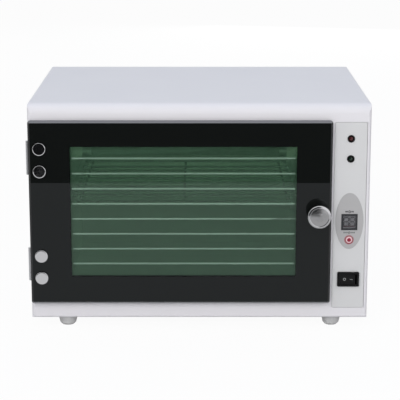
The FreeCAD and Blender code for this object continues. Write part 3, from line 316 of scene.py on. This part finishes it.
dress(moulded("matt_abs_panel", "#cfcfcf", 0.55, 0.02 * mm), "control_panel")
dress(moulded("white_polycarbonate", "#e6e6e0", 0.45, 0.01 * mm),
      "lamp_holders", "starter_socket", "terminal_block", "magnet_catch")
dress(moulded("black_nylon", "#101011", 0.4, 0.01 * mm, 0.2),
      "rocker_housing", "indicator_bezels", "cable_gland", "gland_nut", "button_switch", "relay")
dress(moulded("rocker_black", "#0e0e0f", 0.3, 0.01 * mm, 0.25), "rocker_paddle")
dress(moulded("grey_rubber", "#cfcfcf", 0.75, 0.03 * mm, 0.25), "feet")
dress(moulded("black_rubber", "#131313", 0.7, 0.03 * mm, 0.25), "door_seal", "lamp_lead_grommets")
dress(moulded("clear_nylon", "#cfcfca", 0.4, 0.01 * mm), "glass_washers")
dress(moulded("silver_label_film", "#adacac", 0.4, 0.01 * mm), "oval_plate")
dress(moulded("unlit_bars", "#4a484b", 0.5, 0.01 * mm), "display_segments")
dress(moulded("red_ring", "#a5464e", 0.3, 0.01 * mm), "button_ring")
print("moulded finishes", len([m for m in bpy.data.materials if m.users]))

# %% [markdown]
# Stainless sheet is rolled bright and shows faint lines along its rolling direction. A noise that is
# stretched many times along one axis draws them in roughness and bump. Zinc-plated steel is greyer and
# cloudy. Nickel is warmer and nearly a mirror, and on the rack's wires it is thin and somewhat dull.

# %% Metals
def rolled_metal(name, hex_colour, rough, stretch=(1, 1, 1), grain=0.4 * mm, depth=0.01 * mm):
    material, tree, shader = surface(name, hex_colour, metallic=1.0, roughness=rough)
    place = add(tree, "ShaderNodeTexCoord").outputs["Object"]
    along = add(tree, "ShaderNodeMapping", {"Vector": place, "Scale": stretch})
    lines = add(tree, "ShaderNodeTexNoise", {"Vector": along.outputs[0], "Scale": 1 / grain, "Detail": 3.0})
    spread = add(tree, "ShaderNodeMapRange", {"Value": lines.outputs["Fac"], "To Min": rough - 0.06,
                                              "To Max": rough + 0.08})
    tree.links.new(spread.outputs[0], shader.inputs["Roughness"])
    bump = add(tree, "ShaderNodeBump", {"Height": lines.outputs["Fac"], "Strength": 0.2, "Distance": depth})
    tree.links.new(bump.outputs[0], shader.inputs["Normal"])
    return material


dress(rolled_metal("stainless_sheet", "#e0e1e0", 0.34, (0.02, 1, 1)),
      "chamber_floor", "chamber_ceiling", "chamber_left_wall", "chamber_right_wall", "chamber_back_wall",
      "rack_rails")
dress(rolled_metal("zinc_plate", "#dcdde0", 0.42, grain=3 * mm),
      "chamber_supports", "case_screws", "fascia_screws", "inside_screws", "hinge_backing_plates",
      "catch_strike_plate", "door_hinge_leaves", "frame_hinge_leaves", "hinge_pins", "knob_screw")
dress(rolled_metal("nickelled_wire", "#8c8d90", 0.16, grain=5 * mm, depth=0.002 * mm), "wire_rack")
dress(rolled_metal("satin_aluminium", "#cfd0d1", 0.3, (0.05, 1, 1)),
      "lamp_end_caps", "lamp_reflector", "starter")
dress(rolled_metal("nickel_plate", "#9c9a95", 0.22, grain=2 * mm), "catch_magnet")
dress(rolled_metal("varnished_iron", "#4b4c52", 0.45, (1, 0.05, 1)), "ballast", "board_transformer")
print("metals ready")

# %% [markdown]
# The display is a black bezel round a grey reflector plate, with two digits of unlit bars on it. Bezel
# and plate are one moulding, printed black in front, so the colour changes with depth.

# %% Display
bezel_front = Vector(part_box("display_housing")[0]).y
bezel_print = 0.3 * mm            # the black reaches this far back
print_fade = 0.2 * mm
display_body, tree, shader = surface("two_tone_abs", "#2c2c30", roughness=0.4)
depth = add(tree, "ShaderNodeSeparateXYZ", {0: add(tree, "ShaderNodeTexCoord").outputs["Object"]})
behind = add(tree, "ShaderNodeMapRange", {"Value": depth.outputs["Y"],
                                          "From Min": bezel_front + bezel_print,
                                          "From Max": bezel_front + bezel_print + print_fade})
paint = add(tree, "ShaderNodeMixRGB", {"Fac": behind.outputs[0], "Color1": linear("#2c2c30"),
                                      "Color2": linear("#949496")})
tree.links.new(paint.outputs[0], shader.inputs["Base Color"])
dress(display_body, "display_housing")
print("bezel front at y =", round(bezel_front / mm, 2), "mm")

# %% [markdown]
# The door is clear float glass with a black border printed behind it and a green film over the window.
# The glass itself only mirrors a little and lets the rest through, so it mixes a clear shader with a
# glossy one by Fresnel. Where the ink backs it, the eye sees one black mirror, so there a black diffuse
# shader takes the clear one's place, which also renders with much less noise. Its top and bottom edges
# are ground, scatter light and look grey. The bottom one faces down into shade, and its grey is painted
# whiter there, a painted light that stands in for the glow of the table below. The upright ones are
# polished and as dark as the face. All are told apart by the surface's own direction.

# %% Glass door
glass, tree, shader = surface("float_glass", "#707073", roughness=0.5)
clear = add(tree, "ShaderNodeBsdfTransparent", {"Color": linear("#f4f8f5")})
mirror = add(tree, "ShaderNodeBsdfGlossy", {"Color": linear("#dde1e6"), "Roughness": 0.0})
fresnel = add(tree, "ShaderNodeFresnel", {"IOR": 1.45})
backing = add(tree, "ShaderNodeBsdfDiffuse", {"Color": linear("#121413")})
coordinates = add(tree, "ShaderNodeTexCoord")
centred = add(tree, "ShaderNodeMapping", {"Vector": coordinates.outputs["Object"],
                                          "Location": -middle("window_film")})
spread = add(tree, "ShaderNodeVectorMath", {0: centred.outputs[0]}, operation="ABSOLUTE")
past = add(tree, "ShaderNodeVectorMath", {0: spread.outputs[0], 1: size("window_film") / 2},
           operation="SUBTRACT")
beside = add(tree, "ShaderNodeSeparateXYZ", {0: past.outputs[0]})
outside = add(tree, "ShaderNodeMath", {0: beside.outputs["X"], 1: beside.outputs["Z"]}, operation="MAXIMUM")
printed = add(tree, "ShaderNodeMath", {0: outside.outputs[0], 1: 0.0}, operation="GREATER_THAN")
behind = add(tree, "ShaderNodeMixShader", {0: printed.outputs[0], 1: clear.outputs[0], 2: backing.outputs[0]})
polished = add(tree, "ShaderNodeMixShader",
               {0: fresnel.outputs[0], 1: behind.outputs[0], 2: mirror.outputs[0]})
facing = add(tree, "ShaderNodeSeparateXYZ", {0: coordinates.outputs["Normal"]})
side_on = add(tree, "ShaderNodeMath", {0: facing.outputs["Y"]}, operation="ABSOLUTE")
ground = add(tree, "ShaderNodeMapRange", {"Value": side_on.outputs[0], "From Min": 0.8, "From Max": 0.97,
                                          "To Min": 1.0, "To Max": 0.0})
level = add(tree, "ShaderNodeMath", {0: facing.outputs["Z"]}, operation="ABSOLUTE")
grey = add(tree, "ShaderNodeMapRange", {"Value": level.outputs[0], "From Min": 0.2, "From Max": 0.5})
tone = add(tree, "ShaderNodeMixRGB", {"Fac": grey.outputs[0], "Color1": linear("#1e1f20"),
                                     "Color2": linear("#707073")})
# painted light: the downward-facing bottom edge gets a whiter grey than the top, standing in for the table's
# glow on it
below = add(tree, "ShaderNodeMapRange", {"Value": facing.outputs["Z"], "From Min": -0.5, "From Max": -0.2,
                                         "To Min": 1.0, "To Max": 0.0})
underside_painted_light = add(tree, "ShaderNodeMixRGB", {"Fac": below.outputs[0], "Color1": tone.outputs[0],
                                        "Color2": linear("#8a8a8c")})
tree.links.new(underside_painted_light.outputs[0], shader.inputs["Base Color"])
mix = add(tree, "ShaderNodeMixShader", {0: ground.outputs[0], 1: polished.outputs[0], 2: shader.outputs[0]})
tree.links.new(mix.outputs[0], tree.nodes["Material Output"].inputs["Surface"])
dress(glass, "door_glass")

dress(moulded("black_ink", "#171918", 0.6, 0.005 * mm, 0.0), "door_border_film")
dress(moulded("pale_ink", "#a9c0b2", 0.7, 0.005 * mm, 0.0), "window_lines")

film_cover = 0.195                # share of the light that the film's pigment stops and scatters
film, tree, shader = surface("green_film", "#86a893", roughness=0.5, specular_ior_level=0.0)
tint = add(tree, "ShaderNodeBsdfTransparent", {"Color": linear("#e8f8ea")})
mix = add(tree, "ShaderNodeMixShader", {0: film_cover, 1: tint.outputs[0], 2: shader.outputs[0]})
tree.links.new(mix.outputs[0], tree.nodes["Material Output"].inputs["Surface"])
dress(film, "window_film")

smoke, tree, shader = surface("smoked_filter", "#66666a", roughness=0.2, alpha=0.25)
dress(smoke, "display_window")
print("glass, film and filter ready")

# %% [markdown]
# The indicator lamps are tinted epoxy, dark while they are off. The button is a red disc with a pale
# ring, and both colours are one moulding each, so the colour follows the distance from its middle.

# %% Indicators and button
def tinted_epoxy(name, hex_colour):
    material, tree, shader = surface(name, hex_colour, roughness=0.12, coat_weight=0.6)
    place = add(tree, "ShaderNodeTexCoord").outputs["Object"]
    cloud = add(tree, "ShaderNodeTexNoise", {"Vector": place, "Scale": 1 / (1.5 * mm)})
    deep = add(tree, "ShaderNodeMixRGB", {"Fac": cloud.outputs["Fac"], "Color1": linear(hex_colour),
                                         "Color2": linear("#050505")})
    tree.links.new(deep.outputs[0], shader.inputs["Base Color"])
    return material


dress(tinted_epoxy("red_epoxy", "#5a1a1e"), "red_indicator")
dress(tinted_epoxy("green_epoxy", "#163326"), "green_indicator")

button_middle = middle("power_button")
dot_radius = 2.0 * mm
dot_edge = 0.2 * mm               # the two colours run together over twice this
button, tree, shader = surface("pale_button", "#e8b9bd", roughness=0.35)
place = add(tree, "ShaderNodeTexCoord").outputs["Object"]
centred = add(tree, "ShaderNodeMapping", {"Vector": place, "Scale": (1, 0, 1),
                                          "Location": (-button_middle.x, 0, -button_middle.z)})
reach = add(tree, "ShaderNodeVectorMath", {0: centred.outputs[0]}, operation="LENGTH")
dot = add(tree, "ShaderNodeMapRange", {"Value": reach.outputs["Value"], "From Min": dot_radius - dot_edge,
                                       "From Max": dot_radius + dot_edge})
paint = add(tree, "ShaderNodeMixRGB", {"Fac": dot.outputs[0], "Color1": linear("#8e2238"),
                                      "Color2": linear("#e8c4c8")})
tree.links.new(paint.outputs[0], shader.inputs["Base Color"])
dress(button, "power_button")
print("button middle", [round(value / mm, 1) for value in button_middle])

# %% [markdown]
# What is left hides inside the case: a green circuit board, the quartz tube, and wires in red PVC.

# %% Board, tube and wires
board_tracks = 8 * mm
board, tree, shader = surface("solder_mask", "#0e4a26", roughness=0.35, coat_weight=0.3)
place = add(tree, "ShaderNodeTexCoord").outputs["Object"]
tracks = add(tree, "ShaderNodeTexBrick", {"Vector": place, "Scale": 1 / board_tracks,
                                         "Color1": linear("#0e4a26"), "Color2": linear("#0b3f20"),
                                         "Mortar": linear("#2d7a45"), "Mortar Size": 0.06})
tree.links.new(tracks.outputs["Color"], shader.inputs["Base Color"])
dress(board, "control_board")

quartz, tree, shader = surface("quartz_tube", "#f2f6f8", roughness=0.05, alpha=0.14)
dress(quartz, "uv_lamp_tube")
dress(moulded("red_pvc", "#a8261f", 0.4, 0.01 * mm), "inside_wires")
print("every solid piece is dressed:", all(slot.material.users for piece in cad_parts.values()
                                           for slot in piece.material_slots))

# %% [markdown]
# New pieces are shaped with bmesh operators. Two helpers follow: one turns a bmesh into a piece that
# rides on a body, with sharp edges kept sharp and round ones smooth, and one spins an outline about an
# axis along Y, as a lathe does.

# %% From a bmesh to a piece, and a lathe
sharp_above = math.radians(30)


def make_piece(name, shape, material, body):
    bmesh.ops.recalc_face_normals(shape, faces=shape.faces)
    mesh = bpy.data.meshes.new(name)
    shape.to_mesh(mesh)
    shape.free()
    mesh.materials.append(material)
    mesh.shade_smooth()
    mesh.set_sharp_from_angle(angle=sharp_above)
    piece = bpy.data.objects.new(name, mesh)
    bpy.context.scene.collection.objects.link(piece)
    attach(piece, body)
    print(name, len(mesh.polygons), "faces")
    return piece


def turn(outline, centre, steps=96):
    """Spins an outline of (radius, y) points a full turn about an axis along Y through centre."""
    shape = bmesh.new()
    points = [shape.verts.new((centre.x + radius, y, centre.z)) for radius, y in outline]
    edges = [shape.edges.new(pair) for pair in zip(points, points[1:])]
    bmesh.ops.spin(shape, geom=points + edges, cent=(centre.x, 0, centre.z), axis=(0, 1, 0),
                   angle=2 * math.pi, steps=steps, use_merge=True)
    bmesh.ops.remove_doubles(shape, verts=shape.verts, dist=0.001 * mm)
    return shape


# %% [markdown]
# The knob is turned brass with a chrome plate. Its face is a very shallow dome inside a bead, and it
# is this dome that splits the mirror image: the lower half shows the bright table, the upper left the
# dark cloth. The lathe leaves rings too fine to see, which stretch each reflection a little and make
# the face duller than the bead, which is polished. The bead is also given a lighter chrome than the
# face, a painted highlight that brightens the ring of room it mirrors. The rings are a noise of the
# distance from the knob's middle alone.

# %% Knob
knob_middle = middle("door_knob")
knob_face = Vector(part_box("door_knob")[0]).y
knob_seat = Vector(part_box("door_knob")[1]).y
knob_radius = size("door_knob").x / 2
neck_radius = 5.2 * mm
foot_radius = 7.5 * mm
dome_radius = knob_radius - 2.4 * mm
dome_height = 0.75 * mm
dome_steps = 12
dome = [(dome_radius * step / dome_steps, knob_face + dome_height * (step / dome_steps) ** 2)
        for step in range(dome_steps + 1)]
rim = [(inwards * mm, back * mm) for inwards, back in (      # from the knob's edge, and from its face
    (2.2, 0.55), (1.95, 0.4), (1.7, 0.55), (1.6, 0.6), (0.85, 0.665), (0.75, 0.71), (0.1, 1.4), (0, 1.55),
    (0, 6.2), (0.15, 6.6), (0.5, 6.9))]
shoulder = [(5.4 * mm, knob_face + 8.8 * mm), (neck_radius, knob_face + 9.4 * mm)]
foot = [(neck_radius, knob_seat - 2.4 * mm), (5.8 * mm, knob_seat - 1.5 * mm),
        (foot_radius, knob_seat - 1.0 * mm), (foot_radius, knob_seat), (0, knob_seat)]
knob_outline = dome + [(knob_radius - inwards, knob_face + back) for inwards, back in rim] + shoulder + foot

ring_pitch = 0.25 * mm            # tool marks, drawn coarse enough to blur a reflection
lathe_chrome, tree, shader = surface("turned_chrome", "#bcbcbe", metallic=1.0, roughness=0.18)
place = add(tree, "ShaderNodeTexCoord").outputs["Object"]
centred = add(tree, "ShaderNodeMapping", {"Vector": place, "Scale": (1, 0, 1),
                                          "Location": (-knob_middle.x, 0, -knob_middle.z)})
reach = add(tree, "ShaderNodeVectorMath", {0: centred.outputs[0]}, operation="LENGTH")
ring = add(tree, "ShaderNodeMath", {0: reach.outputs["Value"], 1: 1 / ring_pitch}, operation="MULTIPLY")
marks = add(tree, "ShaderNodeTexNoise", {"W": ring.outputs[0], "Scale": 1.0, "Detail": 2.0},
            noise_dimensions="1D")
on_face = add(tree, "ShaderNodeMapRange", {"Value": reach.outputs["Value"], "From Min": dome_radius,
                                           "From Max": dome_radius + 0.2 * mm, "To Min": 1.0, "To Max": 0.0})
height = add(tree, "ShaderNodeMath", {0: marks.outputs["Fac"], 1: on_face.outputs[0]}, operation="MULTIPLY")
bump = add(tree, "ShaderNodeBump", {"Height": height.outputs[0], "Strength": 1.0, "Distance": 0.045 * mm})
tree.links.new(bump.outputs[0], shader.inputs["Normal"])
# painted highlight: the bead outside the dome gets a lighter chrome than the face, which brightens the ring
# of room it mirrors
paint = add(tree, "ShaderNodeMixRGB", {"Fac": on_face.outputs[0], "Color1": linear("#cfcfd2"),
                                      "Color2": linear("#bcbcbe")})
tree.links.new(paint.outputs[0], shader.inputs["Base Color"])

knob = make_piece("chrome_knob", turn(knob_outline, knob_middle), lathe_chrome, "door")
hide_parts("door_knob")

# %% [markdown]
# The glass hangs on four studs, each under a small round cap of polished chrome. A cap's face is flat
# and mirrors one thing all over: cloth in the upper two, table in the lower two. Its edge is rolled
# over in a small round, which mirrors the whole room as a thin bright ring.

# %% Hinge caps
cap_spacing = 22.6 * mm           # between the two caps of a hinge
cap_depth = 2.2 * mm
caps_low, caps_high = (Vector(corner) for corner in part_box("hinge_caps"))
cap_radius = size("hinge_caps").x / 2
cap_x = middle("hinge_caps").x
cap_seat = caps_low.y + cap_depth
cap_heights = [caps_low.z + cap_radius, caps_low.z + cap_radius + cap_spacing,
               caps_high.z - cap_radius - cap_spacing, caps_high.z - cap_radius]
cap_outline = [(0, caps_low.y)] + [
    (cap_radius - inwards * mm, caps_low.y + back * mm)      # from the cap's edge, and from its face
    for inwards, back in ((1.1, 0.0), (0.9, 0.0), (0.75, 0.02), (0.4, 0.12), (0.2, 0.28), (0.05, 0.55),
                          (0, 0.9))] + [
    (cap_radius, cap_seat), (0, cap_seat)]
cap_chrome = rolled_metal("polished_chrome", "#e8e8ea", 0.05, grain=6 * mm, depth=0.001 * mm)

for number, height in enumerate(cap_heights, 1):
    cap = make_piece(f"hinge_cap_{number}", turn(cap_outline, Vector((cap_x, 0, height)), 64), cap_chrome,
                     "door")
    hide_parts("hinge_caps")

# %% [markdown]
# The marks are screen-printed: a clock over the display, an on-off sign under it, both between short
# strokes, a dark line along the foot of the digits, a pale ring round the button, and the circle and
# bar on the rocker. Each is a flat shape a few hundredths of a millimetre thick. A spun edge makes an
# arc, and an extruded edge makes a bar. The print is drawn about the origin, facing the front, and then
# laid on the surface that a ray finds behind it.

# %% Printed marks
ink = 0.04 * mm                   # thickness of the print


def arc(shape, x, z, radius, width, start=0, sweep=360):
    """A band along an arc, with its angles in degrees clockwise from the top."""
    way = Vector((math.sin(math.radians(start)), 0, math.cos(math.radians(start))))
    centre = Vector((x, 0, z))
    ends = [shape.verts.new(centre + way * (radius + side * width / 2)) for side in (-1, 1)]
    edge = shape.edges.new(ends)
    bmesh.ops.spin(shape, geom=ends + [edge], cent=centre, axis=(0, 1, 0), angle=math.radians(sweep),
                   steps=max(4, round(sweep / 12)), use_merge=sweep == 360)


def bar(shape, x0, z0, x1, z1, width):
    """A straight band from (x0, z0) to (x1, z1): its end edge, extruded along it."""
    start, end = Vector((x0, 0, z0)), Vector((x1, 0, z1))
    across = (end - start).normalized().cross(Vector((0, 1, 0))) * width / 2
    edge = shape.edges.new([shape.verts.new(start + side * across) for side in (-1, 1)])
    far = bmesh.ops.extrude_edge_only(shape, edges=[edge])["geom"]
    bmesh.ops.translate(shape, verts=[piece for piece in far if isinstance(piece, bmesh.types.BMVert)],
                        vec=end - start)


def strokes(shape, places, half_height, width):
    """Short upright bars on both sides of a sign."""
    for side in (-1, 1):
        for place in places:
            bar(shape, side * place * mm, -half_height, side * place * mm, half_height, width)


def print_on(name, shape, node, x, z, body, colour, beside=0):
    """Lays a flat shape, drawn about the origin, on the front of a solid piece at (x, z). Where there is a
    hole in the middle, the ray looks for the surface beside it."""
    start = Vector((x + beside, cad_low.y - 1, z))
    _, place, normal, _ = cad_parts[node].ray_cast(start, Vector((0, 1, 0)))
    place.x -= beside
    bmesh.ops.recalc_face_normals(shape, faces=shape.faces)
    bmesh.ops.solidify(shape, geom=shape.faces[:], thickness=ink)
    lay = Vector((0, -1, 0)).rotation_difference(normal).to_matrix().to_4x4()
    bmesh.ops.transform(shape, matrix=Matrix.Translation(place + normal * ink) @ lay, verts=shape.verts)
    return make_piece(name, shape, colour, body)


dark_ink = moulded("dark_ink", "#2e2e31", 0.6, 0.002 * mm, 0.2)
grey_ink = moulded("grey_ink", "#4c5451", 0.6, 0.002 * mm, 0.2)
white_ink = moulded("white_ink", "#a4a6a4", 0.6, 0.002 * mm, 0.2)
halo_ink = moulded("halo_ink", "#a98a8f", 0.6, 0.002 * mm, 0.2)
rule_ink = moulded("rule_ink", "#3c2a30", 0.6, 0.002 * mm, 0.2)

display = middle("display_housing")
display_top = Vector(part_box("display_housing")[1]).z
display_low = Vector(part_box("display_housing")[0]).z
stroke = 0.5 * mm                 # width of the signs' lines
clock_gap = 2.3 * mm              # above the display, and below it
power_gap = 2.6 * mm
rule_drop = 4.3 * mm              # the dark line, below the display's middle
rule_left, rule_right = -5.9 * mm, 5.4 * mm
halo_radius = 4.75 * mm
sign_side = 3.4 * mm              # the rocker's signs, from its middle
sign_line = 0.45 * mm

clock = bmesh.new()
arc(clock, 0, 0, 1.1 * mm, stroke)
bar(clock, 0, 0, 0, 0.8 * mm, 0.4 * mm)
bar(clock, 0, 0, 0.6 * mm, 0, 0.4 * mm)
strokes(clock, (2.1, 3.0, 3.9), 0.8 * mm, 0.6 * mm)
print_on("clock_mark", clock, "oval_plate", display.x, display_top + clock_gap, "cabinet", dark_ink)

power = bmesh.new()
arc(power, 0, 0, 0.9 * mm, stroke, 35, 290)
bar(power, 0, 0.1 * mm, 0, 1.3 * mm, stroke)
strokes(power, (2.0, 3.1, 4.2, 5.3), 0.75 * mm, 0.6 * mm)
print_on("power_mark", power, "oval_plate", display.x, display_low - power_gap, "cabinet", grey_ink)

rule = bmesh.new()
bar(rule, rule_left, 0, rule_right, 0, 0.8 * mm)
print_on("display_rule", rule, "display_window", display.x, display.z - rule_drop, "cabinet", rule_ink)

halo = bmesh.new()
arc(halo, 0, 0, halo_radius, stroke)
print_on("button_halo", halo, "oval_plate", button_middle.x, button_middle.z, "cabinet", halo_ink,
         beside=halo_radius)

paddle = middle("rocker_paddle")
off_sign = bmesh.new()
arc(off_sign, 0, 0, 1.2 * mm, sign_line)
print_on("rocker_off_mark", off_sign, "rocker_paddle", paddle.x - sign_side, paddle.z, "rocker", white_ink)
on_sign = bmesh.new()
bar(on_sign, -1.4 * mm, 0, 1.4 * mm, 0, sign_line)
print_on("rocker_on_mark", on_sign, "rocker_paddle", paddle.x + sign_side, paddle.z, "rocker", white_ink)

# %% [markdown]
# A germicidal tube is clear quartz, so the cathodes inside its ends show when the door is open: a
# coiled tungsten wire held across two lead wires. The coil is a small ring spun forwards as it turns,
# which a spin does when it is given a step along its axis. That leaves the wire open at both ends, so
# the two holes are filled before the leads are added.

# %% Lamp cathodes
tube_low, tube_high = (Vector(corner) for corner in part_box("uv_lamp_tube"))
tube = (tube_low + tube_high) / 2
lead_radius = 0.35 * mm
coil_wire = 0.21 * mm             # radius of the coiled wire
wire_sides = 8
coil_radius = 0.7 * mm
coil_turns = 7
turn_steps = 16
coil_pitch = 1.1 * mm
cathode_inset = 12 * mm           # from the tube's end
lead_reach = 2 * mm               # how far the leads run on into the end cap
lead_bite = 0.5 * mm              # and how far past the coil's middle
tungsten = rolled_metal("tungsten_wire", "#8d8a86", 0.35, grain=1 * mm)


def rod(shape, start, end, radius, sides=10):
    """A straight round rod between two points."""
    along = end - start
    lay = along.to_track_quat("Z", "Y").to_matrix().to_4x4()
    bmesh.ops.create_cone(shape, cap_ends=True, segments=sides, radius1=radius, radius2=radius,
                          depth=along.length, matrix=Matrix.Translation((start + end) / 2) @ lay)


cathodes = bmesh.new()
for end, inwards in ((tube_low.x, 1), (tube_high.x, -1)):
    x = end + inwards * cathode_inset
    half = coil_turns * coil_pitch / 2
    ring = bmesh.ops.create_circle(cathodes, segments=wire_sides, radius=coil_wire,
                                   matrix=Matrix.Translation((x + coil_radius, tube.y, tube.z - half))
                                   @ Matrix.Rotation(math.pi / 2, 4, "X"))
    ring_edges = list({edge for vert in ring["verts"] for edge in vert.link_edges})
    bmesh.ops.spin(cathodes, geom=ring["verts"] + ring_edges, cent=(x, tube.y, tube.z), axis=(0, 0, 1),
                   dvec=(0, 0, coil_pitch / turn_steps), angle=2 * math.pi * coil_turns,
                   steps=turn_steps * coil_turns)
    bmesh.ops.holes_fill(cathodes, edges=[edge for edge in cathodes.edges if edge.is_boundary],
                         sides=wire_sides)
    for side in (-1, 1):
        rod(cathodes, Vector((end - inwards * lead_reach, tube.y, tube.z + side * half)),
            Vector((x + inwards * lead_bite, tube.y, tube.z + side * half)), lead_radius)
make_piece("lamp_cathodes", cathodes, tungsten, "cabinet")
